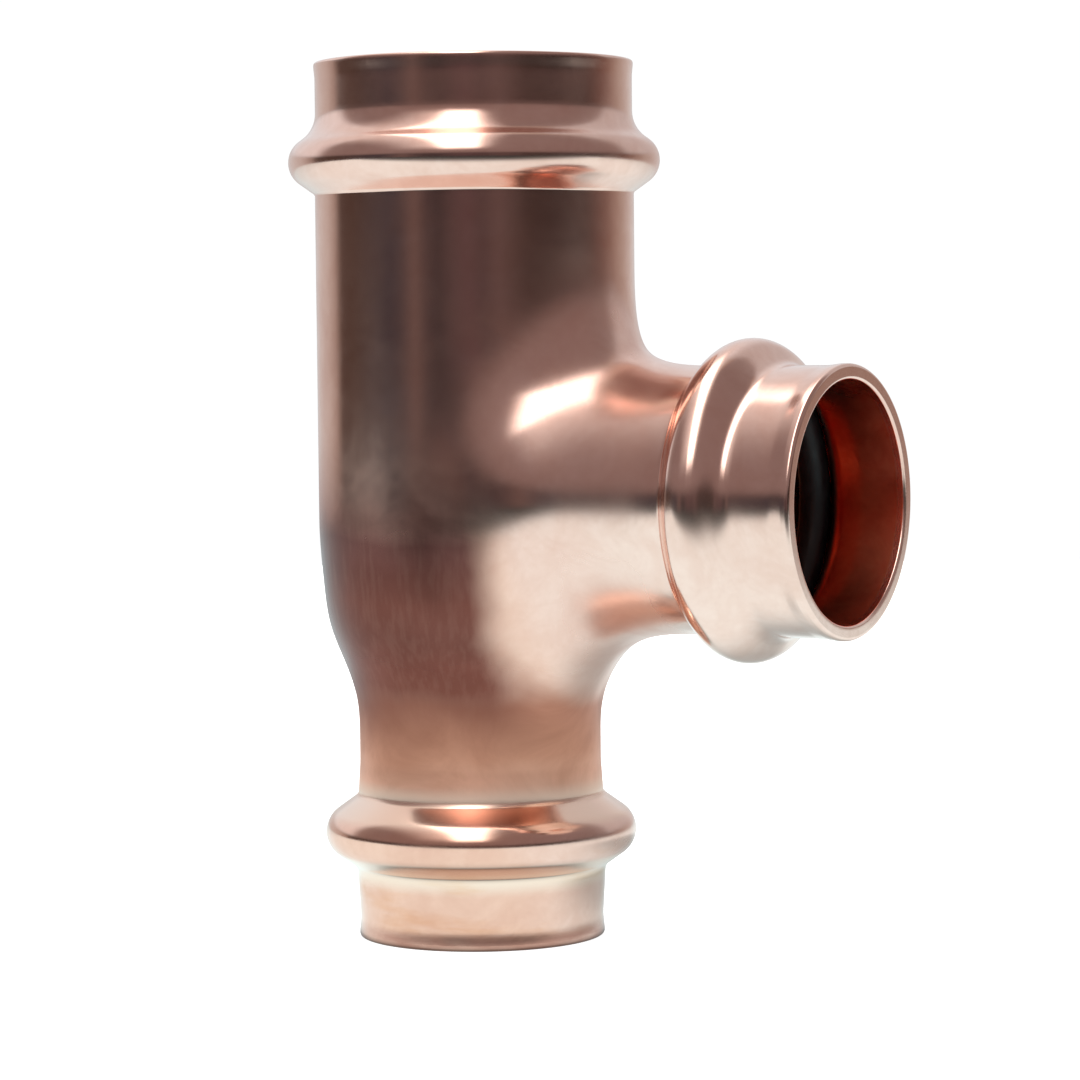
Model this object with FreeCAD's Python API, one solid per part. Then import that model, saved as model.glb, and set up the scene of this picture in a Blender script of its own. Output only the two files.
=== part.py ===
import FreeCAD, Part
import math
import os
from FreeCAD import Vector as V

# Press-fit reducing tee in copper: 28 mm run socket (up), 22 mm run socket (down)
# and 22 mm branch socket (+X). The body is one tube, bulged and drawn to shape.
# Each socket has a rolled bead near its mouth, and the bead's groove holds one
# loose rubber sealing ring.
#
# Frame, in millimetres: origin at the centre of the lower 22 mm rim, on the run
# axis. +Z is up the run towards the 28 mm mouth, +X is along the branch.

# ---- driving dimensions --------------------------------------------------
AXIS_Z = 43.2            # height of the branch axis above the lower rim
TOP_UP = 42.5            # branch axis to the 28 mm rim
BRANCH_OUT = 40.9        # run axis to the branch rim

BORE_28 = 14.1           # socket bore radius for 28 mm tube
BORE_22 = 11.1           # socket bore radius for 22 mm tube
STOP_28 = 13.6           # waterway radius past the 28 mm tube stop
STOP_22 = 10.4           # waterway radius past the lower 22 mm tube stop
STOP_BR = 10.6           # waterway radius past the branch tube stop
DEPTH_28 = 24.0          # insertion depth, rim to tube stop
DEPTH_22 = 21.0

LIP_28 = 15.50           # outside radius of the 28 mm lip
BODY_28 = 15.60          # outside radius of the run
NECK_22 = 11.88          # outside radius of the drawn-down lower neck
LIP_22 = 12.00           # outside radius of the lower lip
NECK_BR = 12.75          # outside radius of the branch
LIP_BR = 12.76           # outside radius of the branch lip

BEAD_28 = 18.17          # crest radius of the beads
BEAD_22 = 15.29
BEAD_BR = 15.34
BEAD_28_UP = 32.80       # bead centre above the branch axis
BEAD_22_DOWN = 32.90     # bead centre below the branch axis
BEAD_BR_OUT = 30.75      # bead centre from the run axis
CREST_28 = 2.50          # rounding radius of the bead crests
CREST_22 = 2.70
FLANK = 1.40             # slope of the bead flanks, radial per axial

WALL_28 = 1.30           # wall at the bead crests
WALL_22 = 1.20

RIM_OUT = 0.28           # rounding of the rims, outside and inside
RIM_IN = 0.34
RIM_BR_OUT = 0.38        # the branch rim is rounded more
RIM_BR_IN = 0.80
FLARE = 0.10             # the rims turn out this much over the last millimetre
FLARE_BR = 0.17

FILLET_OUT = 7.0         # junction of branch and run, outside
FILLET_IN = 5.6          # inside the junction

RING_28_SECTION = 2.94   # sealing ring sections and inside radii
RING_22_SECTION = 2.98
RING_28_IN = 13.90
RING_22_IN = 10.95


# ---- helpers -------------------------------------------------------------
def rounded(points):
    """Open chain of lines with a tangent arc at each corner.

    points: (r, s, fillet); the first and last fillets are ignored."""
    edges = []
    last = V(points[0][0], 0, points[0][1])
    for i in range(1, len(points)):
        p = V(points[i][0], 0, points[i][1])
        rad = points[i][2]
        if i == len(points) - 1 or rad <= 0:
            if (p - last).Length > 1e-6:
                edges.append(Part.makeLine(last, p))
            last = p
            continue
        a = V(points[i - 1][0], 0, points[i - 1][1])
        b = V(points[i + 1][0], 0, points[i + 1][1])
        u, w = (a - p).normalize(), (b - p).normalize()
        half = math.acos(max(-1.0, min(1.0, u.dot(w)))) / 2
        run = rad / math.tan(half)
        t1, t2 = p + u * run, p + w * run
        mid_dir = (u + w).normalize()
        centre = p + mid_dir * (rad / math.sin(half))
        mid = centre - mid_dir * rad
        if (t1 - last).Length > 1e-6:
            edges.append(Part.makeLine(last, t1))
        edges.append(Part.Arc(t1, mid, t2).toShape())
        last = t2
    return edges


def smooth(points):
    """Curve through (r, s) points, parallel to the axis at both ends."""
    pts = [V(r, 0, s) for r, s in points]
    curve = Part.BSplineCurve()
    sign = 1.0 if points[-1][1] > points[0][1] else -1.0
    t = V(0, 0, sign)
    curve.interpolate(Points=pts, InitialTangent=t, FinalTangent=t)
    return curve.toShape()


def bead(crest, centre, rad, lower_r, lower_fillet, upper_r, upper_fillet):
    """The three corners of a bead, from its low end to its high end."""
    apex = crest - rad + rad * math.sqrt(1 + FLANK ** 2)
    lo = centre - (apex - lower_r) / FLANK
    hi = centre + (apex - upper_r) / FLANK
    return [(lower_r, lo, lower_fillet), (apex, centre, rad), (upper_r, hi, upper_fillet)]


def revolved(edges, seam=180):
    """Solid of revolution about Z from a chain that starts and ends off the axis."""
    start = edges[0].valueAt(edges[0].FirstParameter)
    end = edges[-1].valueAt(edges[-1].LastParameter)
    a, b = V(0, 0, start.z), V(0, 0, end.z)
    closing = [Part.makeLine(end, b), Part.makeLine(b, a), Part.makeLine(a, start)]
    wire = Part.Wire(Part.__sortEdges__(edges + closing))
    face = Part.Face(wire)
    # on the run the seam lies on -X, away from the branch
    face.rotate(V(0, 0, 0), V(0, 0, 1), seam)
    solid = face.revolve(V(0, 0, 0), V(0, 0, 1), 360)
    if solid.ShapeType != "Solid":
        solid = Part.Solid(solid.Shells[0])
    if solid.Volume < 0:
        solid.reverse()
    return solid


def along_x(shape):
    """Turn a part modelled along +Z so that it runs along +X."""
    s = shape.copy()
    s.rotate(V(0, 0, 0), V(0, 1, 0), 90)
    return s


# ---- outside of the run (heights from the branch axis) ---------------------
Z_LOW = -AXIS_Z
Z_TOP = TOP_UP

lower = rounded(
    [(LIP_22 + FLARE - RIM_OUT, Z_LOW, 0),
     (LIP_22 + FLARE, Z_LOW, RIM_OUT),
     (LIP_22 + FLARE, Z_LOW + 0.55, 1.0),
     (LIP_22 - 0.02, Z_LOW + 1.9, 4.0)]
    + bead(BEAD_22, -BEAD_22_DOWN, CREST_22, LIP_22 + 0.22, 1.0, 12.62, 0.35)
    + [(12.16, -27.85, 2.5), (NECK_22, -26.0, 4.0), (NECK_22, -23.4, 0)])

reducer_points = [
    (NECK_22, -23.4), (11.98, -21.6), (12.27, -19.2), (12.70, -17.4),
    (13.30, -16.0), (13.98, -14.5), (14.50, -12.8), (14.90, -10.8),
    (15.20, -8.6), (15.46, -6.0), (BODY_28 - 0.02, -3.6), (BODY_28, -2.0)]

upper = rounded(
    [(BODY_28, -2.0, 0)]
    + bead(BEAD_28, BEAD_28_UP, CREST_28, BODY_28, 0.4, LIP_28, 2.4)
    + [(LIP_28, Z_TOP - 1.5, 4.0),
       (LIP_28 + FLARE, Z_TOP - 0.5, 1.0),
       (LIP_28 + FLARE, Z_TOP, RIM_OUT),
       (LIP_28 + FLARE - RIM_OUT - 0.3, Z_TOP, 0)])

run_out = revolved(lower + [smooth(reducer_points)] + upper)

# ---- outside of the branch ----------------------------------------------
branch_out = along_x(revolved(rounded(
    [(NECK_BR, 0.0, 0)]
    + bead(BEAD_BR, BEAD_BR_OUT, CREST_22, NECK_BR, 0.45, LIP_BR, 1.0)
    + [(LIP_BR, BRANCH_OUT - 2.1, 4.0),
       (LIP_BR + FLARE_BR, BRANCH_OUT - 0.8, 1.0),
       (LIP_BR + FLARE_BR, BRANCH_OUT, RIM_BR_OUT),
       (LIP_BR + FLARE_BR - RIM_BR_OUT - 0.2, BRANCH_OUT, 0)]), 0))


# ---- inside of the run -----------------------------------------------------
def groove(crest, wall, centre, rad, bore, low_fillet, high_fillet):
    """The bead's groove: parallel to the bead's flanks, one wall thinner."""
    return bead(crest - wall, centre, rad - wall, bore, low_fillet, bore, high_fillet)


OVER = 1.0               # the cutting solids run this far past the rims

low_in = rounded(
    [(BORE_22 + RIM_IN + OVER, Z_LOW - OVER, 0),
     (BORE_22 + RIM_IN, Z_LOW, 0),
     (BORE_22, Z_LOW + RIM_IN, 0.3)]
    + groove(BEAD_22, WALL_22, -BEAD_22_DOWN, CREST_22, BORE_22, 1.9, 1.4)
    + [(BORE_22, Z_LOW + DEPTH_22, 0),
       (STOP_22, Z_LOW + DEPTH_22 + 0.5, 0),
       (STOP_22, -21.4, 0)])

cavity_points = [
    (STOP_22, -21.4), (10.62, -19.4), (11.05, -17.6), (11.66, -16.0),
    (12.28, -14.4), (12.70, -12.6), (13.04, -10.6), (13.30, -8.6),
    (13.50, -6.2), (STOP_28 - 0.02, -4.0), (STOP_28, -2.4)]

top_in = rounded(
    [(STOP_28, -2.4, 0),
     (STOP_28, Z_TOP - DEPTH_28 - 0.3, 0),
     (BORE_28, Z_TOP - DEPTH_28, 0)]
    + groove(BEAD_28, WALL_28, BEAD_28_UP, CREST_28 + 0.35, BORE_28, 1.4, 2.5)
    + [(BORE_28, Z_TOP - RIM_IN, 0.3),
       (BORE_28 + RIM_IN, Z_TOP, 0),
       (BORE_28 + RIM_IN + OVER, Z_TOP + OVER, 0)])

run_in = revolved(low_in + [smooth(cavity_points)] + top_in)

branch_in = along_x(revolved(rounded(
    [(STOP_BR, 0.0, 0),
     (STOP_BR, BRANCH_OUT - DEPTH_22 - 0.5, 0),
     (BORE_22, BRANCH_OUT - DEPTH_22, 0)]
    + groove(BEAD_BR, WALL_22, BEAD_BR_OUT, CREST_22, BORE_22, 1.4, 1.9)
    + [(BORE_22, BRANCH_OUT, RIM_BR_IN),
       (BORE_22 + RIM_BR_IN + 0.1, BRANCH_OUT, 0),
       (BORE_22 + RIM_BR_IN + 0.1, BRANCH_OUT + OVER, 0)]), 0))


# ---- junctions -------------------------------------------------------------
def joined(run, branch, r_branch, blend):
    """Run and branch in one solid, blended with one radius where they cross."""
    both = run.fuse(branch)
    edges = []
    for e in both.Edges:
        pts = e.discretize(9)
        if all(abs(math.hypot(p.y, p.z) - r_branch) < 0.02 for p in pts) and \
                all(0.5 < p.x < 20 for p in pts) and \
                max(p.x for p in pts) - min(p.x for p in pts) > 0.05:
            edges.append(e)
    out = both.makeFillet(blend, edges)
    if not out.isValid() or len(out.Solids) != 1 or out.Volume < both.Volume:
        raise RuntimeError("the junction blend failed")
    return out.Solids[0]


outer = joined(run_out, branch_out, NECK_BR, FILLET_OUT)
inner = joined(run_in, branch_in, STOP_BR, FILLET_IN)

body = outer.cut(inner)
body = body.Solids[0] if len(body.Solids) == 1 else body


def ring(radius_in, section):
    """A sealing ring about Z at height 0."""
    r = section / 2
    return Part.makeTorus(radius_in + r, r)


ring_28 = ring(RING_28_IN, RING_28_SECTION)
ring_28.translate(V(0, 0, BEAD_28_UP))
ring_22 = ring(RING_22_IN, RING_22_SECTION)
ring_22.translate(V(0, 0, -BEAD_22_DOWN))
ring_br = along_x(ring(RING_22_IN, RING_22_SECTION))
ring_br.translate(V(BEAD_BR_OUT, 0, 0))

NODES = {
    "tee_body": body,
    "seal_ring_run_28": ring_28,
    "seal_ring_run_22": ring_22,
    "seal_ring_branch_22": ring_br,
}

os.makedirs("parts", exist_ok=True)
for name, shape in NODES.items():
    s = shape.copy()
    s.translate(V(0, 0, AXIS_Z))
    s.exportStep("parts/%s.step" % name)
    b = s.BoundBox
    print("%-20s valid %s solids %d volume %.1f  x %.2f..%.2f  y %.2f..%.2f  z %.2f..%.2f" % (
        name, s.isValid(), len(s.Solids), s.Volume, b.XMin, b.XMax, b.YMin, b.YMax, b.ZMin, b.ZMax))

for name in ("seal_ring_run_28", "seal_ring_run_22", "seal_ring_branch_22"):
    print(name, "overlap with body %.4f mm3, gap %.3f mm" % (
        NODES[name].common(body).Volume, NODES[name].distToShape(body)[0]))
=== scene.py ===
import math
import bmesh
import bpy
import numpy as np
from mathutils import Matrix, Vector


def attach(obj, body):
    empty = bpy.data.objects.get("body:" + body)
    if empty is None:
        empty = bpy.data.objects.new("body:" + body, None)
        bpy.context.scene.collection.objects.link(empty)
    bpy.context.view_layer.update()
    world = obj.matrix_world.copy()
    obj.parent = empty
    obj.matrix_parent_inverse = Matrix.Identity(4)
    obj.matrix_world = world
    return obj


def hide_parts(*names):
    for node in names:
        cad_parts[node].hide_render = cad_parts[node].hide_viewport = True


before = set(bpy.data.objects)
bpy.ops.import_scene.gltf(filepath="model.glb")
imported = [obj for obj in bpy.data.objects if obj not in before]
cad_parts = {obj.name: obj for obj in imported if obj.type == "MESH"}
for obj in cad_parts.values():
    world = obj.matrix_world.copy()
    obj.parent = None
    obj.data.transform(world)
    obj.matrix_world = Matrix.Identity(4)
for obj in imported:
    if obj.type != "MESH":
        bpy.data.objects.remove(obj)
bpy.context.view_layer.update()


# ---------------------------------------------------------------- helpers
class Nodes:
    """Small helper for building node trees."""

    def __init__(self, tree):
        self.tree = tree
        tree.nodes.clear()

    def add(self, kind, **props):
        n = self.tree.nodes.new(kind)
        for k, v in props.items():
            setattr(n, k, v)
        return n

    def link(self, a, b):
        self.tree.links.new(a, b)

    def set(self, socket, value):
        if hasattr(value, "is_output") or isinstance(value, bpy.types.NodeSocket):
            self.link(value, socket)
        else:
            socket.default_value = value

    def math(self, op, a, b=None, c=None, clamp=False):
        n = self.add("ShaderNodeMath", operation=op, use_clamp=clamp)
        self.set(n.inputs[0], a)
        if b is not None:
            self.set(n.inputs[1], b)
        if c is not None:
            self.set(n.inputs[2], c)
        return n.outputs[0]

    def vmath(self, op, a, b=None):
        n = self.add("ShaderNodeVectorMath", operation=op)
        self.set(n.inputs[0], a)
        if b is not None:
            self.set(n.inputs[1], b)
        return n.outputs["Value"] if op in {"DOT_PRODUCT", "LENGTH", "DISTANCE"} else n.outputs[0]

    def range(self, x, a, b, lo=0.0, hi=1.0, smooth=True):
        n = self.add("ShaderNodeMapRange", interpolation_type="SMOOTHSTEP" if smooth else "LINEAR")
        self.set(n.inputs["Value"], x)
        n.inputs["From Min"].default_value = a
        n.inputs["From Max"].default_value = b
        n.inputs["To Min"].default_value = lo
        n.inputs["To Max"].default_value = hi
        return n.outputs[0]

    def ramp(self, x, stops, mode="LINEAR"):
        n = self.add("ShaderNodeValToRGB")
        n.color_ramp.interpolation = mode
        els = n.color_ramp.elements
        while len(els) > 1:
            els.remove(els[-1])
        for i, (pos, col) in enumerate(stops):
            e = els[0] if i == 0 else els.new(pos)
            e.position = pos
            e.color = (*col, 1.0) if len(col) == 3 else col
        self.set(n.inputs[0], x)
        return n.outputs[0]

    def mix(self, f, a, b, blend="MIX"):
        n = self.add("ShaderNodeMix", data_type="RGBA", blend_type=blend)
        self.set(n.inputs[0], f)
        self.set(n.inputs[6], a if not isinstance(a, tuple) or len(a) == 4 else (*a, 1.0))
        self.set(n.inputs[7], b if not isinstance(b, tuple) or len(b) == 4 else (*b, 1.0))
        return n.outputs[2]

    def noise(self, vec, scale, detail=4.0, rough=0.5, distortion=0.0):
        n = self.add("ShaderNodeTexNoise")
        self.set(n.inputs["Vector"], vec)
        n.inputs["Scale"].default_value = scale
        n.inputs["Detail"].default_value = detail
        n.inputs["Roughness"].default_value = rough
        n.inputs["Distortion"].default_value = distortion
        return n.outputs["Fac"]

    def mapping(self, vec, scale=(1, 1, 1), rot=(0, 0, 0), loc=(0, 0, 0)):
        n = self.add("ShaderNodeMapping")
        self.set(n.inputs["Vector"], vec)
        n.inputs["Scale"].default_value = scale
        n.inputs["Rotation"].default_value = rot
        n.inputs["Location"].default_value = loc
        return n.outputs[0]


# ---------------------------------------------------------------- copper
# Camera azimuth of the set; the world light and the floor's reflected pattern are laid out about it.
AZ, EL, ROLL = math.radians(32.0), math.radians(2.49), math.radians(-0.63)
AXIS_Z = 0.0432


def copper_material():
    mat = bpy.data.materials.new("copper_bright")
    mat.use_nodes = True
    t = Nodes(mat.node_tree)
    out = t.add("ShaderNodeOutputMaterial")
    bsdf = t.add("ShaderNodeBsdfPrincipled")
    t.link(bsdf.outputs[0], out.inputs[0])
    pos = t.add("ShaderNodeTexCoord").outputs["Object"]
    sep = t.add("ShaderNodeSeparateXYZ")
    t.link(pos, sep.inputs[0])
    x, y, z = sep.outputs
    inner = t.add("ShaderNodeAttribute", attribute_name="bore").outputs["Fac"]

    # clouds of slightly duller, browner metal, and brushed streaks along the run
    clouds = t.noise(pos, 90.0, 6.0, 0.62, 0.8)
    patches = t.noise(pos, 240.0, 5.0, 0.62, 0.6)
    fine = t.noise(pos, 1100.0, 3.0, 0.6)
    brushed = t.noise(t.mapping(pos, (1, 1, 0.14), (0.22, 0.10, 0)), 1500.0, 3.0, 0.6)
    brushed2 = t.noise(t.mapping(pos, (1, 0.25, 1), (0.9, 0.3, 0.5)), 1100.0, 3.0, 0.6)
    col = t.mix(t.range(patches, 0.35, 0.70), (0.930, 0.620, 0.520), (0.880, 0.560, 0.460))
    col = t.mix(t.range(clouds, 0.40, 0.72, 0.0, 0.55), col, (0.80, 0.465, 0.370))
    col = t.mix(t.range(fine, 0.3, 0.8, 0.0, 0.20), col, (0.82, 0.50, 0.40))

    # painted shade all round the reducer, fading out towards the branch: very dark brown that is partly a
    # painted reflection of a dim room, partly real duller tarnish; and a warmer neck below it that darkens upward into
    # it
    zr = t.math("SUBTRACT", z, AXIS_Z)
    soft = t.noise(pos, 110.0, 2.0, 0.5)
    wob = t.math("SUBTRACT", soft, 0.5)
    xw = t.math("ADD", x, t.math("MULTIPLY", wob, 0.0036))
    zw = t.math("ADD", zr, t.math("MULTIPLY", wob, 0.0035))
    zn = t.range(zw, -0.032, 0.012, 0.0, 1.0, smooth=False)

    def level(mm):
        return (mm + 32.0) / 44.0

    # painted dark reflection over the reducer, partly real tarnish
    painted_dark_and_tarnish = t.range(xw, 0.0114, 0.0070)
    painted_dark_and_tarnish = t.math("MULTIPLY", painted_dark_and_tarnish, t.range(zw, 0.0100, -0.0040))
    painted_dark_and_tarnish = t.math("MULTIPLY", painted_dark_and_tarnish, t.range(zw, -0.0238, -0.0178))
    on_run = t.range(t.math("SQRT", t.math("ADD", t.math("MULTIPLY", x, x), t.math("MULTIPLY", y, y))), 0.0180, 0.0162)
    streak = t.range(brushed, 0.30, 0.72, 0.97, 1.02)
    painted_dark_and_tarnish = t.math("MULTIPLY", t.math("MULTIPLY", painted_dark_and_tarnish, on_run), streak, clamp=True)
    # the neck darkens upward into the painted dark reflection: partly browner metal, partly painted shade
    neck = t.range(zw, -0.0172, -0.0202)
    neck = t.math("MULTIPLY", t.math("MULTIPLY", neck, t.range(zr, -0.0300, -0.0290)), on_run)
    neck_c = t.ramp(zn, [(level(-29.0), (0.97, 0.58, 0.43)), (level(-27.0), (0.95, 0.500, 0.350)), (level(-24.5), (0.80, 0.375, 0.248)),
                         (level(-22.0), (0.66, 0.290, 0.190)), (level(-20.0), (0.60, 0.255, 0.170)), (level(-18.0), (0.56, 0.240, 0.160))])
    neck_c = t.mix(t.range(clouds, 0.35, 0.68, 0.0, 1.0), neck_c, t.mix(1.0, neck_c, (0.82, 0.78, 0.76), "MULTIPLY"))
    # colours of the painted dark reflection, by height
    painted_dark_and_tarnish_col = t.ramp(zn, [(level(-20.0), (0.225, 0.074, 0.052)), (level(-16.0), (0.180, 0.056, 0.041)),
                         (level(-13.0), (0.165, 0.056, 0.042)), (level(-10.0), (0.178, 0.058, 0.043)),
                         (level(-7.0), (0.150, 0.050, 0.039)), (level(-4.0), (0.165, 0.062, 0.052)),
                         (level(-1.0), (0.380, 0.185, 0.150)), (level(3.0), (0.54, 0.30, 0.24)), (level(8.0), (0.72, 0.43, 0.35))])
    painted_dark_and_tarnish_col = t.mix(t.range(clouds, 0.35, 0.70, 0.0, 0.5), painted_dark_and_tarnish_col, t.mix(1.0, painted_dark_and_tarnish_col, (1.45, 1.5, 1.5), "MULTIPLY"))
    warm = t.math("MULTIPLY", t.range(xw, 0.0145, 0.0085), t.range(zw, 0.0, -0.0040))
    warm = t.math("MULTIPLY", warm, on_run)
    col = t.mix(warm, col, t.mix(1.0, col, (0.99, 0.90, 0.83), "MULTIPLY"))
    col = t.mix(neck, col, neck_c)
    col = t.mix(painted_dark_and_tarnish, col, painted_dark_and_tarnish_col)
    # the upper shoulder of the lower bead is paler
    rho = t.math("SQRT", t.math("ADD", t.math("MULTIPLY", x, x), t.math("MULTIPLY", y, y)))
    paler_shoulder = t.math("MULTIPLY", t.range(zr, -0.0272, -0.0290), t.range(rho, 0.0152, 0.0143))
    paler_shoulder = t.math("MULTIPLY", paler_shoulder, t.range(zr, -0.0325, -0.0316))
    col = t.mix(paler_shoulder, col, (0.972, 0.675, 0.535))
    # the groove where the lower lip meets its bead is painted paler, a painted reflection standing in for the bright
    # floor; faint stains over the lower lip
    painted_pale_groove = t.math("MULTIPLY", t.range(zr, -0.0345, -0.0352), t.range(zr, -0.0382, -0.0366))
    col = t.mix(painted_pale_groove, col, (0.965, 0.705, 0.565))
    stain = t.noise(t.mapping(pos, (0.35, 0.35, 1.6), (0.2, 0.1, 0.3)), 260.0, 4.0, 0.55)
    low = t.math("MULTIPLY", t.range(zr, -0.0328, -0.0345), t.range(stain, 0.46, 0.72, 0.0, 0.75))
    col = t.mix(low, col, t.mix(1.0, col, (0.93, 0.80, 0.66), "MULTIPLY"))
    # painted shade at the foot of the lower lip: a darker reddish band, broken by stains, standing in for the dim
    # floor contact the rim reflects
    foot_shade_and_stain = t.math("MULTIPLY", t.range(zr, -0.0412, -0.0424), t.range(stain, 0.32, 0.60, 0.25, 0.85))
    col = t.mix(foot_shade_and_stain, col, (0.50, 0.220, 0.165))
    # the lower half of the branch end, which faces the bright floor, is painted a touch less red: a painted paler
    # reflection
    pale = t.math("MULTIPLY", t.range(x, 0.0160, 0.0240), t.range(zr, 0.0010, -0.0030))
    col = t.mix(pale, col, t.mix(1.0, col, (1.03, 1.10, 1.12), "MULTIPLY"))
    # the bores are painted redder, standing in for the deep red of light bounced round inside copper; they are also
    # unpolished
    red = t.mix(t.range(patches, 0.3, 0.7), (0.93, 0.305, 0.170), (0.80, 0.210, 0.115))
    col = t.mix(inner, col, red)
    t.link(col, bsdf.inputs["Base Color"])
    bsdf.inputs["Metallic"].default_value = 1.0

    # the drawn-down part is satin, the rest bright with duller clouds
    satin = t.math("MULTIPLY", t.range(zw, -0.0140, -0.0215, 0.0, 0.31), t.range(zr, -0.0297, -0.0283))
    satin = t.math("MULTIPLY", satin, on_run)
    r = t.range(clouds, 0.3, 0.75, 0.13, 0.21)
    r = t.math("ADD", r, satin)
    r = t.math("ADD", r, t.math("MULTIPLY", painted_dark_and_tarnish, 0.08))
    # the blend round the branch was never buffed as bright
    blend = t.math("MULTIPLY", t.range(x, 0.0120, 0.0170), t.range(x, 0.0270, 0.0235))
    r = t.math("ADD", r, t.math("MULTIPLY", blend, t.range(zr, -0.0020, -0.0080, 0.08, 0.15)))
    r = t.math("ADD", r, t.math("MULTIPLY", inner, 0.12))
    t.link(r, bsdf.inputs["Roughness"])

    # fine scratches and handling marks
    h = t.math("ADD", t.math("MULTIPLY", brushed, 0.35), t.math("MULTIPLY", brushed2, 0.35))
    h = t.math("ADD", h, t.math("MULTIPLY", clouds, 2.2))
    b = t.add("ShaderNodeBump")
    b.inputs["Strength"].default_value = 0.03
    b.inputs["Distance"].default_value = 0.00012
    t.link(h, b.inputs["Height"])
    t.link(b.outputs[0], bsdf.inputs["Normal"])
    return mat


def rubber_material():
    mat = bpy.data.materials.new("seal_rubber_black")
    mat.use_nodes = True
    t = Nodes(mat.node_tree)
    out = t.add("ShaderNodeOutputMaterial")
    bsdf = t.add("ShaderNodeBsdfPrincipled")
    t.link(bsdf.outputs[0], out.inputs[0])
    pos = t.add("ShaderNodeTexCoord").outputs["Object"]
    n1 = t.noise(pos, 700.0, 4.0, 0.6)
    n2 = t.noise(pos, 5000.0, 2.0, 0.5)
    col = t.mix(t.range(n1, 0.3, 0.75), (0.004, 0.004, 0.005), (0.010, 0.010, 0.011))
    t.link(col, bsdf.inputs["Base Color"])
    t.link(t.range(n1, 0.3, 0.7, 0.42, 0.58), bsdf.inputs["Roughness"])
    bsdf.inputs["Specular IOR Level"].default_value = 0.35
    b = t.add("ShaderNodeBump")
    b.inputs["Strength"].default_value = 0.15
    b.inputs["Distance"].default_value = 0.0001
    t.link(n2, b.inputs["Height"])
    t.link(b.outputs[0], bsdf.inputs["Normal"])
    return mat


copper = copper_material()
rubber = rubber_material()


# ---- profile helpers: everything here is in millimetres about the branch axis ----
def chain(points, step=0.5, turn=7.0):
    """Samples of an open chain of lines with a tangent arc at each corner: (r, s) rows."""
    out = [np.array(points[0][:2], float)]

    def line(q):
        p = out[-1]
        n = max(1, int(math.ceil(np.linalg.norm(q - p) / step)))
        if np.linalg.norm(q - p) > 1e-6:
            out.extend(p + (q - p) * i / n for i in range(1, n + 1))

    for i in range(1, len(points)):
        p = np.array(points[i][:2], float)
        rad = points[i][2]
        if i == len(points) - 1 or rad <= 0:
            line(p)
            continue
        a, b = np.array(points[i - 1][:2], float), np.array(points[i + 1][:2], float)
        u, w = (a - p) / np.linalg.norm(a - p), (b - p) / np.linalg.norm(b - p)
        half = math.acos(max(-1.0, min(1.0, float(u @ w)))) / 2
        run = rad / math.tan(half)
        t1, t2 = p + u * run, p + w * run
        bis = (u + w) / np.linalg.norm(u + w)
        c = p + bis * (rad / math.sin(half))
        line(t1)
        a1, a2 = math.atan2(*(t1 - c)[::-1]), math.atan2(*(t2 - c)[::-1])
        d = (a2 - a1 + math.pi) % (2 * math.pi) - math.pi
        n = max(2, int(math.ceil(abs(d) / math.radians(turn))))
        out.extend(c + rad * np.array([math.cos(a1 + d * k / n), math.sin(a1 + d * k / n)]) for k in range(1, n + 1))
    return np.array(out)


def spline(knots, n):
    """Natural-looking curve through (r, s) knots, parallel to the axis at both ends (cubic, clamped)."""
    k = np.array(knots, float)
    x, y = k[:, 1], k[:, 0]
    m = len(x)
    h = np.diff(x)
    A, b = np.zeros((m, m)), np.zeros(m)
    A[0, 0], A[0, 1], b[0] = 2 * h[0], h[0], 6 * (y[1] - y[0]) / h[0]
    A[-1, -1], A[-1, -2], b[-1] = 2 * h[-1], h[-1], -6 * (y[-1] - y[-2]) / h[-1]
    for i in range(1, m - 1):
        A[i, i - 1], A[i, i], A[i, i + 1] = h[i - 1], 2 * (h[i - 1] + h[i]), h[i]
        b[i] = 6 * ((y[i + 1] - y[i]) / h[i] - (y[i] - y[i - 1]) / h[i - 1])
    M = np.linalg.solve(A, b)
    s = np.linspace(x[0], x[-1], n)
    i = np.clip(np.searchsorted(x, s) - 1, 0, m - 2)
    t0, t1, hh = s - x[i], x[i + 1] - s, h[i]
    r = (M[i] * t1 ** 3 + M[i + 1] * t0 ** 3) / (6 * hh) + (y[i] / hh - M[i] * hh / 6) * t1 + (y[i + 1] / hh - M[i + 1] * hh / 6) * t0
    return np.column_stack([r, s])


def bead(crest, centre, rad, lower_r, lower_fillet, upper_r, upper_fillet, flank=1.4):
    apex = crest - rad + rad * math.sqrt(1 + flank ** 2)
    return [(lower_r, centre - (apex - lower_r) / flank, lower_fillet), (apex, centre, rad),
            (upper_r, centre + (apex - upper_r) / flank, upper_fillet)]


def resample(profile, rows):
    """Radius of a profile at the given places along it (single-valued part)."""
    return np.interp(rows, profile[:, 1], profile[:, 0])


# ---- blended surface ----
def smooth_min(a, b, k):
    h = np.maximum(k - np.abs(a - b), 0.0) / k
    return np.minimum(a, b) - h ** 3 * k / 6.0


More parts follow.
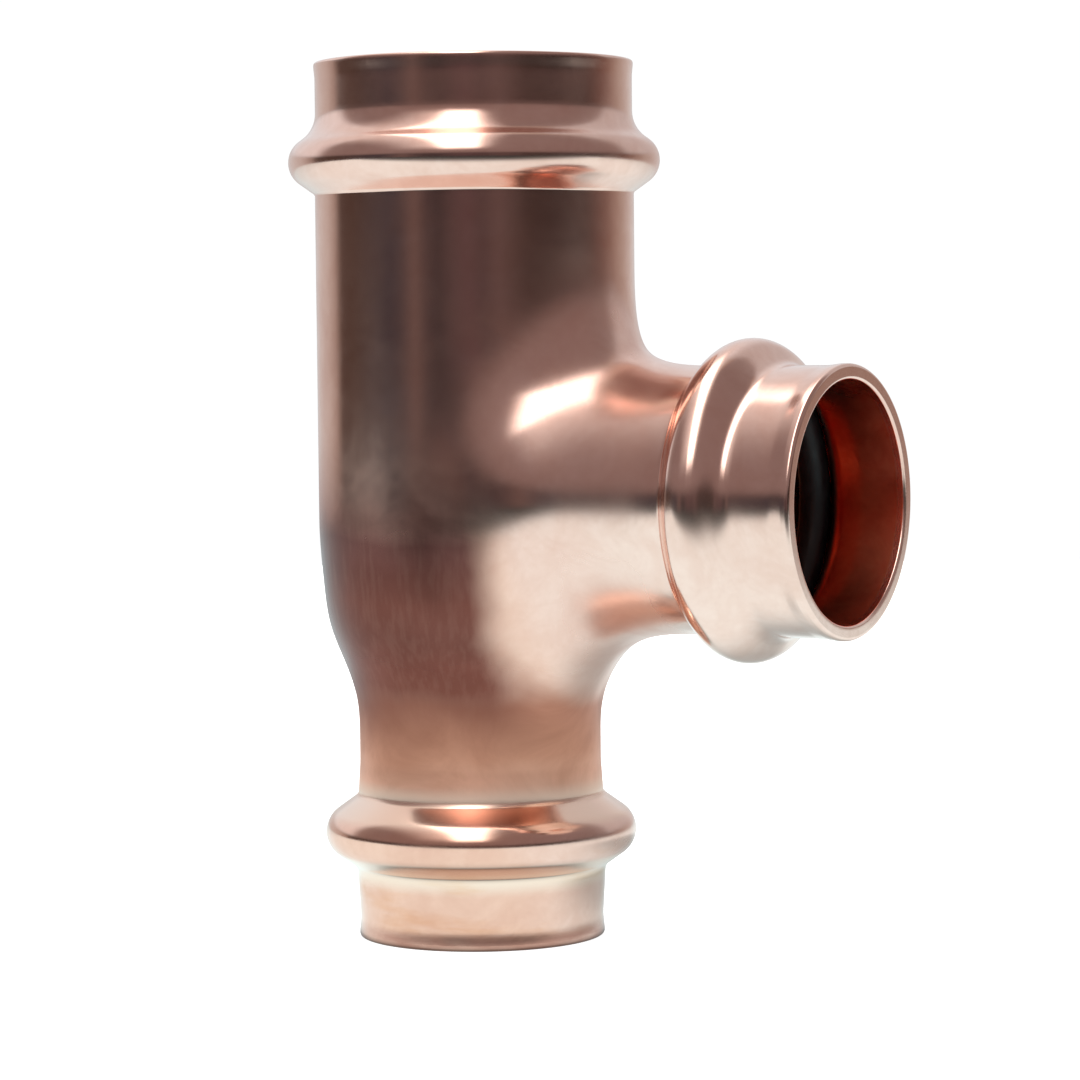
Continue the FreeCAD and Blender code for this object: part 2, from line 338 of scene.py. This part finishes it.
class Junction:
    """Run and branch as one surface, with a soft blend whose size varies round the branch."""

    def __init__(self, run_profile, branch_r, k_top, k_side, k_low, fade=None, back=(-1.5, 9.0)):
        self.p, self.rb = run_profile, branch_r
        self.k = (k_top, k_side, k_low)
        self.fade = fade
        self.back = back

    def f(self, P):
        x, y, z = P[..., 0], P[..., 1], P[..., 2]
        d1 = np.hypot(x, y) - np.interp(z, self.p[:, 1], self.p[:, 0])
        rad = np.hypot(y, z)
        d2 = rad - self.rb
        s = z / np.maximum(rad, 1e-6)
        kt, ks, kl = self.k
        k = ks + (kt - ks) * np.maximum(s, 0) ** 2 + (kl - ks) * np.maximum(-s, 0) ** 2
        if self.fade:
            t = np.clip((self.fade[1] - x) / (self.fade[1] - self.fade[0]), 0.02, 1)
            k = k * t * t * (3 - 2 * t)
        # the blend stays on the branch side of the run
        t = np.clip((x - self.back[0]) / (self.back[1] - self.back[0]), 0.004, 1)
        k = k * t * t * (3 - 2 * t)
        return smooth_min(d1, d2, np.maximum(k, 0.02))

    def grad(self, P, e=1e-3):
        g = np.empty_like(P)
        for a in range(3):
            d = np.zeros(3)
            d[a] = e
            g[..., a] = (self.f(P + d) - self.f(P - d)) / (2 * e)
        return g

    def project(self, P, n=4):
        for _ in range(n):
            g = self.grad(P)
            P = P - (self.f(P) / np.maximum((g ** 2).sum(-1), 1e-9))[..., None] * g
        return P


def skin(profile_lo, rows, profile_hi, r_rows, branch, xb, junction, ncol, jspan, nrad, relax=40):
    """One skin (outside or inside): revolved parts, the blended patch, the branch.

    profile_lo, profile_hi: (r, s) rows below and above the patch, rows: heights in the patch
    range with radii r_rows, branch: (r, x) rows outward from xb. Returns verts, quads and the
    vertex rows at the three mouths."""
    V, Q = [], []
    phi = 2 * math.pi * np.arange(ncol) / ncol
    c, s = np.cos(phi), np.sin(phi)

    def ring(r, z):
        start = sum(len(v) for v in V)
        V.append(np.column_stack([r * c, r * s, np.full(ncol, z)]))
        return np.arange(start, start + ncol)

    def join(a, b):
        Q.append(np.column_stack([a, np.roll(a, -1), np.roll(b, -1), b]))

    lows = [ring(r, z) for r, z in profile_lo]
    highs = [ring(r, z) for r, z in profile_hi]
    for a, b in zip(lows, lows[1:]):
        join(a, b)
    for a, b in zip(highs, highs[1:]):
        join(a, b)
    # rows across the patch range: only the columns behind it
    back = np.arange(jspan, ncol - jspan + 1)
    grid = np.full((len(rows), ncol), -1)
    for k, (z, r) in enumerate(zip(rows, r_rows)):
        start = sum(len(v) for v in V)
        V.append(np.column_stack([r * c[back], r * s[back], np.full(len(back), z)]))
        grid[k, back] = np.arange(start, start + len(back))
    full = [lows[-1]] + [grid[k] for k in range(len(rows))] + [highs[0]]
    for a, b in zip(full, full[1:]):
        i, j = back[:-1], back[1:]
        Q.append(np.column_stack([a[i], a[j], b[j], b[i]]))
    # boundary loop of the patch, anticlockwise seen from +X
    cols = list(range(-jspan, jspan + 1))
    loop = [(lows[-1][j % ncol]) for j in cols]
    loop += [grid[k, jspan] for k in range(len(rows))]
    loop += [highs[0][j % ncol] for j in cols[::-1]]
    loop += [grid[k, ncol - jspan] for k in range(len(rows))][::-1]
    allv = np.vstack(V)
    B = allv[loop]
    n = len(loop)
    rr = float(np.median(r_rows))
    ang = np.arctan2(B[:, 1], B[:, 0])
    th = np.unwrap(np.arctan2(B[:, 2], ang * rr))
    uniform = th[0] + 2 * math.pi * np.arange(n) / n
    th = 0.6 * th + 0.4 * uniform
    rb = junction.rb
    R0 = np.column_stack([np.full(n, xb), rb * np.cos(th), rb * np.sin(th)])
    rz = np.interp(R0[:, 2], junction.p[:, 1], junction.p[:, 0])
    C = R0.copy()
    C[:, 0] = np.sqrt(np.maximum(rz ** 2 - R0[:, 1] ** 2, 1.0)) + 0.5
    t = np.linspace(0, 1, nrad + 1)[:, None, None]
    P = (1 - t) ** 2 * R0 + 2 * t * (1 - t) * C + t ** 2 * B
    P[1:-1] = junction.project(P[1:-1], 8)
    for _ in range(relax):
        A = 0.25 * (P[:-2] + P[2:] + np.roll(P[1:-1], 1, 1) + np.roll(P[1:-1], -1, 1))
        P[1:-1] = junction.project(0.4 * P[1:-1] + 0.6 * A, 1)
    P[1:-1] = junction.project(P[1:-1], 4)
    base = len(allv)
    V.append(P[:-1].reshape(-1, 3))
    idx = np.vstack([base + np.arange(nrad * n).reshape(nrad, n), np.array(loop)])
    for a, b in zip(idx, idx[1:]):
        Q.append(np.column_stack([a, b, np.roll(b, -1), np.roll(a, -1)]))
    # the branch, outward
    prev = idx[0]
    for r, x in branch[1:]:
        start = sum(len(v) for v in V)
        V.append(np.column_stack([np.full(n, x), r * np.cos(th), r * np.sin(th)]))
        cur = np.arange(start, start + n)
        Q.append(np.column_stack([cur, prev, np.roll(prev, -1), np.roll(cur, -1)]))
        prev = cur
    return np.vstack(V), np.vstack(Q), lows[0], highs[-1], prev


# ---- dimensions (the CAD part's own) ----
BORE_28, BORE_22 = 14.1, 11.1
STOP_28, STOP_22, STOP_BR = 13.6, 10.4, 10.6
LIP_28, BODY_28, NECK_22, LIP_22, NECK_BR, LIP_BR = 15.50, 15.60, 11.88, 12.00, 12.75, 12.76
Z_LOW, Z_TOP, X_OUT = -43.2, 42.5, 40.9

REDUCER = [(11.88, -23.4), (12.135, -19.6), (13.192, -16.2), (14.557, -12.6), (15.204, -8.4), (15.60, -2.0)]
CAVITY = [(10.4, -21.4), (10.62, -19.4), (11.66, -16.0), (12.86, -11.8), (13.38, -7.8), (13.6, -2.4)]


def body_mesh(k_out=(12.3, 7.4, 12.3), k_in=(8.0, 8.0, 8.5), ncol=160, jspan=46, nz=80):
    lo = chain([(LIP_22 + 0.10 - 0.28, Z_LOW, 0), (LIP_22 + 0.10, Z_LOW, 0.28),
                (LIP_22 + 0.10, Z_LOW + 0.55, 1.0), (LIP_22 - 0.02, Z_LOW + 1.9, 4.0)]
               + bead(15.31, -32.84, 2.62, LIP_22 + 0.28, 1.15, 12.10, 0.80)
               + [(NECK_22, -26.0, 9.0), (NECK_22, -25.0, 0)])
    hi = chain([(BODY_28, 26.4, 0)] + bead(18.17, 32.78, 2.50, BODY_28, 0.4, LIP_28, 3.1)
               + [(LIP_28, Z_TOP - 1.5, 4.0), (LIP_28 + 0.10, Z_TOP - 0.5, 1.0),
                  (LIP_28 + 0.10, Z_TOP, 0.28), (LIP_28 + 0.10 - 0.28 - 0.16, Z_TOP, 0)])
    red = spline(REDUCER, 200)
    prof = np.vstack([[NECK_22, -30.0], [NECK_22, -23.5], red, [BODY_28, 30.0]])
    rows = np.linspace(-25.0, 26.4, nz + 2)[1:-1]
    br = chain([(NECK_BR, 27.0, 0)] + bead(15.34, 30.68, 2.62, NECK_BR, 0.45, LIP_BR, 1.9)
               + [(LIP_BR, X_OUT - 2.1, 4.0), (LIP_BR + 0.17, X_OUT - 0.8, 1.0),
                  (LIP_BR + 0.17, X_OUT, 0.38), (LIP_BR + 0.17 - 0.38 - 0.06, X_OUT, 0)])
    J = Junction(prof, NECK_BR, *k_out)
    outer = skin(lo, rows, hi, resample(prof, rows), br, 27.0, J, ncol, jspan, 52)

    # inside
    w28, w22 = 1.30, 1.20
    lo_i = chain([(BORE_22 + 0.34, Z_LOW, 0), (BORE_22, Z_LOW + 0.34, 0.3)]
                 + bead(15.29 - w22, -32.90, 2.70 - w22, BORE_22, 1.9, BORE_22, 1.4)
                 + [(BORE_22, Z_LOW + 21.0, 0), (STOP_22, Z_LOW + 21.5, 0), (STOP_22, -21.5, 0)], 0.8, 10.0)
    hi_i = chain([(STOP_28, 18.1, 0), (STOP_28, Z_TOP - 24.3, 0), (BORE_28, Z_TOP - 24.0, 0)]
                 + bead(18.17 - w28, 32.80, 2.85 - w28, BORE_28, 1.4, BORE_28, 2.5)
                 + [(BORE_28, Z_TOP - 0.34, 0.3), (BORE_28 + 0.34, Z_TOP, 0)], 0.8, 10.0)
    cav = spline(CAVITY, 160)
    prof_i = np.vstack([[STOP_22, -30.0], [STOP_22, -21.45], cav, [STOP_28, 30.0]])
    rows_i = np.linspace(-21.5, 18.1, nz + 2)[1:-1]
    br_i = chain([(STOP_BR, 19.0, 0), (STOP_BR, X_OUT - 21.5, 0), (BORE_22, X_OUT - 21.0, 0)]
                 + bead(15.34 - w22, 30.75, 2.70 - w22, BORE_22, 1.4, BORE_22, 1.9)
                 + [(BORE_22, X_OUT - 4.5, 6.0), (BORE_22 + 0.38, X_OUT, 0.28), (BORE_22 + 0.85, X_OUT, 0)], 0.8, 10.0)
    Ji = Junction(prof_i, STOP_BR, *k_in, fade=(14.5, 19.0))
    inner = skin(lo_i, rows_i, hi_i, resample(prof_i, rows_i), br_i, 19.0, Ji, ncol, jspan, 24)
    return outer, inner


def closed(outer, inner):
    """Both skins and the three rims as one closed mesh. Quads face outward."""
    Vo, Qo, lo, hi, bo = outer
    Vi, Qi, li, hi_, bi = inner
    off = len(Vo)
    V = np.vstack([Vo, Vi])
    Q = [Qo, Qi[:, ::-1] + off]
    li, hi_, bi = li + off, hi_ + off, bi + off

    def rim(a, b, flip):
        assert len(a) == len(b), (len(a), len(b))
        q = np.column_stack([a, np.roll(a, -1), np.roll(b, -1), b])
        Q.append(q[:, ::-1] if flip else q)

    rim(lo, li, True)
    rim(hi, hi_, False)
    # match starts round the branch rim by angle
    tho = np.arctan2(V[bo, 2], V[bo, 1])
    thi = np.arctan2(V[bi, 2], V[bi, 1])
    shift = int(np.argmin(np.abs((thi - tho[0] + math.pi) % (2 * math.pi) - math.pi)))
    rim(bo, np.roll(bi, -shift), False)
    return V, np.vstack(Q)


# ---------------------------------------------------------------- pieces
def build_body():
    outer, inner = body_mesh()
    V, Q = closed(outer, inner)
    V = V.copy()
    V[:, 2] += 43.2
    V /= 1000.0
    me = bpy.data.meshes.new("copper_body")
    me.from_pydata(V.tolist(), [], Q.tolist())
    me.update()
    me.shade_smooth()
    n_out = len(outer[0])
    a = me.attributes.new("bore", "FLOAT", "POINT")
    val = np.zeros(len(V), np.float32)
    val[n_out:] = 1.0
    # the rolled edges themselves keep the outer copper colour, not the painted bore red
    rims = np.zeros(len(V), bool)
    rims |= V[:, 2] < 0.0004
    rims |= V[:, 2] > 0.0855 - 0.0002
    rims |= V[:, 0] > 0.0409 - 0.0009
    val[rims] = 0.0
    a.data.foreach_set("value", val)
    ob = bpy.data.objects.new("copper_body", me)
    bpy.context.scene.collection.objects.link(ob)
    me.materials.append(copper)
    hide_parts("tee_body")
    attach(ob, "root")
    return ob


build_body()
for name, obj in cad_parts.items():
    obj.data.materials.clear()
    obj.data.materials.append(copper if name == "tee_body" else rubber)


# ---------------------------------------------------------------- camera

DIST, F_PX = 0.3743, 3804.7
U0, V0, CX, CY = 477.81, 496.48, 534.98, 545.60


back = Vector((math.sin(AZ) * math.cos(EL), -math.cos(AZ) * math.cos(EL), math.sin(EL)))
right = Vector((math.cos(AZ), math.sin(AZ), 0.0))
up = back.cross(right)
aim = Vector(((U0 - CX) / F_PX, -(V0 - CY) / F_PX, -1.0)).normalized()
turn = aim.rotation_difference(Vector((0, 0, -1))).to_matrix()
base = Matrix((right, up, back)).transposed()
rot = base @ Matrix.Rotation(ROLL, 3, "Z") @ turn

cam_data = bpy.data.cameras.new("camera")
cam = bpy.data.objects.new("camera", cam_data)
bpy.context.scene.collection.objects.link(cam)
cam.matrix_world = Matrix.Translation(back * DIST + Vector((0, 0, AXIS_Z))) @ rot.to_4x4()
cam_data.sensor_fit = "HORIZONTAL"
cam_data.sensor_width = 36.0
cam_data.lens = F_PX * 36.0 / 1080.0
cam_data.shift_x = (540.0 - CX) / 1080.0
cam_data.shift_y = (CY - 540.0) / 1080.0
cam_data.clip_start = 0.01
cam_data.clip_end = 20.0
bpy.context.scene.camera = cam

# ---------------------------------------------------------------- studio
def deg(a):
    return (a + 180.0) / 360.0


def studio_world():
    """A dim room in front, pale walls at the sides and behind, a paler ceiling."""
    w = bpy.data.worlds.new("studio")
    bpy.context.scene.world = w
    w.use_nodes = True
    t = Nodes(w.node_tree)
    out = t.add("ShaderNodeOutputWorld")
    bg = t.add("ShaderNodeBackground")
    t.link(bg.outputs[0], out.inputs[0])
    d = t.add("ShaderNodeTexCoord").outputs["Generated"]
    # azimuth about the vertical, 0 towards the front of the set
    front = (math.sin(AZ), -math.cos(AZ), 0.0)
    side = (math.cos(AZ), math.sin(AZ), 0.0)
    fx = t.vmath("DOT_PRODUCT", d, front)
    sx = t.vmath("DOT_PRODUCT", d, side)
    az = t.math("ARCTAN2", sx, fx)
    u = t.range(az, -math.pi, math.pi, 0.0, 1.0, smooth=False)
    sep = t.add("ShaderNodeSeparateXYZ")
    t.link(d, sep.inputs[0])
    el = t.math("MULTIPLY", t.math("ARCSINE", sep.outputs[2]), 180.0 / math.pi)

    ring = t.ramp(u, [
        (deg(-180), (0.66, 0.68, 0.69)), (deg(-158), (0.66, 0.68, 0.69)), (deg(-132), (0.56, 0.56, 0.55)),
        (deg(-121), (0.40, 0.36, 0.34)), (deg(-113), (0.085, 0.062, 0.055)),
        (deg(-98), (0.078, 0.056, 0.048)), (deg(-75), (0.066, 0.058, 0.064)), (deg(-64), (0.050, 0.046, 0.058)),
        (deg(-55), (0.072, 0.062, 0.070)), (deg(-44), (0.150, 0.112, 0.108)), (deg(-34), (0.070, 0.055, 0.060)),
        (deg(-26), (0.048, 0.039, 0.043)), (deg(-14), (0.092, 0.066, 0.072)), (deg(-6), (0.106, 0.070, 0.078)),
        (deg(5), (0.086, 0.062, 0.066)), (deg(17), (0.120, 0.088, 0.090)), (deg(27), (0.090, 0.066, 0.066)),
        (deg(38), (0.050, 0.036, 0.034)), (deg(60), (0.040, 0.030, 0.029)), (deg(86), (0.044, 0.030, 0.028)),
        (deg(98), (0.100, 0.056, 0.047)), (deg(112), (0.200, 0.120, 0.100)), (deg(121), (0.33, 0.26, 0.23)),
        (deg(132), (0.45, 0.41, 0.38)), (deg(158), (0.68, 0.70, 0.71)), (deg(180), (0.66, 0.68, 0.69))])
    # the ceiling: dim in front, paler to the back
    high = t.ramp(t.range(fx, -1.0, 0.6, 0.0, 1.0, smooth=False), [
        (0.0, (0.80, 0.88, 0.93)), (0.3375, (0.86, 0.94, 1.00)), (0.39, (0.66, 0.70, 0.74)), (0.45, (0.30, 0.265, 0.265)),
        (0.62, (0.25, 0.205, 0.205)), (0.80, (0.26, 0.210, 0.210)), (1.0, (0.26, 0.210, 0.210))])
    high = t.mix(t.math("MULTIPLY", t.range(sx, 0.10, 0.50), t.range(fx, -0.30, -0.40)), high, (0.58, 0.60, 0.62))
    rise = t.ramp(t.range(el, 0.0, 90.0, 0.0, 1.0, smooth=False), [
        (0.0, (0.0,) * 3), (4.0 / 90, (0.08,) * 3), (6.0 / 90, (0.45,) * 3), (8.5 / 90, (0.88,) * 3),
        (12.0 / 90, (1.0,) * 3), (1.0, (1.0,) * 3)])
    high = t.mix(1.0, high, rise, "MULTIPLY")
    both = t.mix(1.0, ring, high, "LIGHTEN")
    # a long overhead light, from low in front over the top to high behind
    alpha = t.math("MULTIPLY", t.math("ARCTAN2", sep.outputs[2], fx), 180.0 / math.pi)
    along = t.math("MULTIPLY", t.range(alpha, 19.0, 36.0), t.range(alpha, 132.0, 106.0))
    fringe = t.math("MULTIPLY", t.range(sx, -0.82, -0.38), t.range(sx, 0.22, 0.06))
    fringe = t.math("MULTIPLY", fringe, t.math("MULTIPLY", t.range(alpha, 19.0, 45.0), t.range(alpha, 150.0, 120.0)))
    both = t.mix(fringe, both, (0.80, 0.79, 0.79))
    lat = t.math("ABSOLUTE", t.math("ADD", sx, 0.145))
    strip = t.math("MULTIPLY", t.range(lat, 0.240, 0.145), along)
    both = t.mix(strip, both, (3.0, 3.0, 2.95))
    lp = t.add("ShaderNodeLightPath")
    colour = t.mix(lp.outputs["Is Camera Ray"], both, (1.02, 1.02, 1.02))
    t.link(colour, bg.inputs[0])
    bg.inputs[1].default_value = 1.0


studio_world()

fwd = Vector((math.sin(AZ), -math.cos(AZ), 0.0))


def softbox(name, centre, long_dir, width, length, radiance, colour=(1, 1, 1), aim=(0, 0, 0.045)):
    """A rectangular soft light facing aim, its long side along long_dir."""
    data = bpy.data.lights.new(name, "AREA")
    data.shape = "RECTANGLE"
    data.size, data.size_y = width, length
    data.energy = radiance * math.pi * width * length
    data.color = colour
    ob = bpy.data.objects.new(name, data)
    bpy.context.scene.collection.objects.link(ob)
    zc = (Vector(centre) - Vector(aim)).normalized()
    yc = Vector(long_dir)
    yc = (yc - zc * yc.dot(zc)).normalized()
    xc = yc.cross(zc)
    ob.matrix_world = Matrix.Translation(centre) @ Matrix((xc, yc, zc)).transposed().to_4x4()
    return ob


# a gentle fill for the floor; the metal sees the room's own lights instead
fill = softbox("softbox_fill", Vector((0, 0, 0.90)) - fwd * 0.10, fwd, 0.6, 0.6, 1.2)
fill.visible_glossy = False


def disc(name, radius, z, material):
    bm = bmesh.new()
    bmesh.ops.create_circle(bm, cap_ends=True, radius=radius, segments=160)
    me = bpy.data.meshes.new(name)
    bm.to_mesh(me)
    bm.free()
    ob = bpy.data.objects.new(name, me)
    bpy.context.scene.collection.objects.link(ob)
    ob.location = (0, 0, z)
    me.materials.append(material)
    return ob


def floor_material():
    fm = bpy.data.materials.new("floor_white")
    fm.use_nodes = True
    t = Nodes(fm.node_tree)
    out = t.add("ShaderNodeOutputMaterial")
    b = t.add("ShaderNodeBsdfPrincipled")
    b.inputs["Base Color"].default_value = (0.80, 0.795, 0.78, 1)
    b.inputs["Roughness"].default_value = 0.9
    b.inputs["Specular IOR Level"].default_value = 0.1
    b.inputs["Emission Color"].default_value = (1.0, 1.0, 1.0, 1)
    b.inputs["Emission Strength"].default_value = 0.90
    t.link(b.outputs[0], out.inputs[0])
    return fm


def bounce_material():
    """What the metal sees of the floor: bright round the object, dimmer away from it."""
    fm = bpy.data.materials.new("floor_bounce")
    fm.use_nodes = True
    t = Nodes(fm.node_tree)
    out = t.add("ShaderNodeOutputMaterial")
    e = t.add("ShaderNodeEmission")
    p = t.add("ShaderNodeTexCoord").outputs["Object"]
    r = t.vmath("LENGTH", p)
    # the reflected floor is bright round the object and falls off to dark a little in front of it
    f = t.vmath("DOT_PRODUCT", p, (math.sin(AZ), -math.cos(AZ), 0.0))
    front_falloff = t.ramp(t.range(f, -0.6, 0.6, 0.0, 1.0, smooth=False), [
        (0.0, (0.70,) * 3), (0.35, (0.85,) * 3), (0.45, (1.0,) * 3), (0.5 + 0.110 / 1.2, (1.0,) * 3),
        (0.5 + 0.140 / 1.2, (0.72,) * 3), (0.5 + 0.175 / 1.2, (0.30,) * 3), (0.5 + 0.215 / 1.2, (0.14,) * 3),
        (0.5 + 0.300 / 1.2, (0.06,) * 3), (1.0, (0.04,) * 3)])
    # painted contact shadow: the reflected floor darkens close round the object's foot
    contact = t.ramp(t.range(r, 0.0, 0.6, 0.0, 1.0, smooth=False), [
        (0.0, (0.12,) * 3), (0.0118 / 0.6, (0.18,) * 3), (0.0129 / 0.6, (0.55,) * 3), (0.0145 / 0.6, (0.86,) * 3),
        (0.018 / 0.6, (1.0,) * 3), (1.0, (1.0,) * 3)])
    col = t.mix(1.0, front_falloff, contact, "MULTIPLY")
    # the object's own shadow lies behind it to the right
    shade = t.vmath("DISTANCE", p, (0.042 * math.cos(AZ) - 0.020 * math.sin(AZ), 0.042 * math.sin(AZ) + 0.020 * math.cos(AZ), 0.0))
    col = t.mix(t.range(shade, 0.046, 0.014, 0.0, 0.50), col, (0.0, 0.0, 0.0))
    col = t.mix(1.0, col, (0.97, 1.18, 1.22), "MULTIPLY")
    t.link(col, e.inputs[0])
    t.link(e.outputs[0], out.inputs[0])
    return fm


floor = disc("floor", 0.60, -0.00002, floor_material())
floor.visible_glossy = False
bounce = disc("floor_bounce", 0.60, -0.00003, bounce_material())
bounce.visible_camera = False
bounce.visible_diffuse = False
bounce.visible_shadow = False
bounce.visible_transmission = False

scene = bpy.context.scene
scene.view_settings.view_transform = "Standard"
scene.view_settings.look = "None"
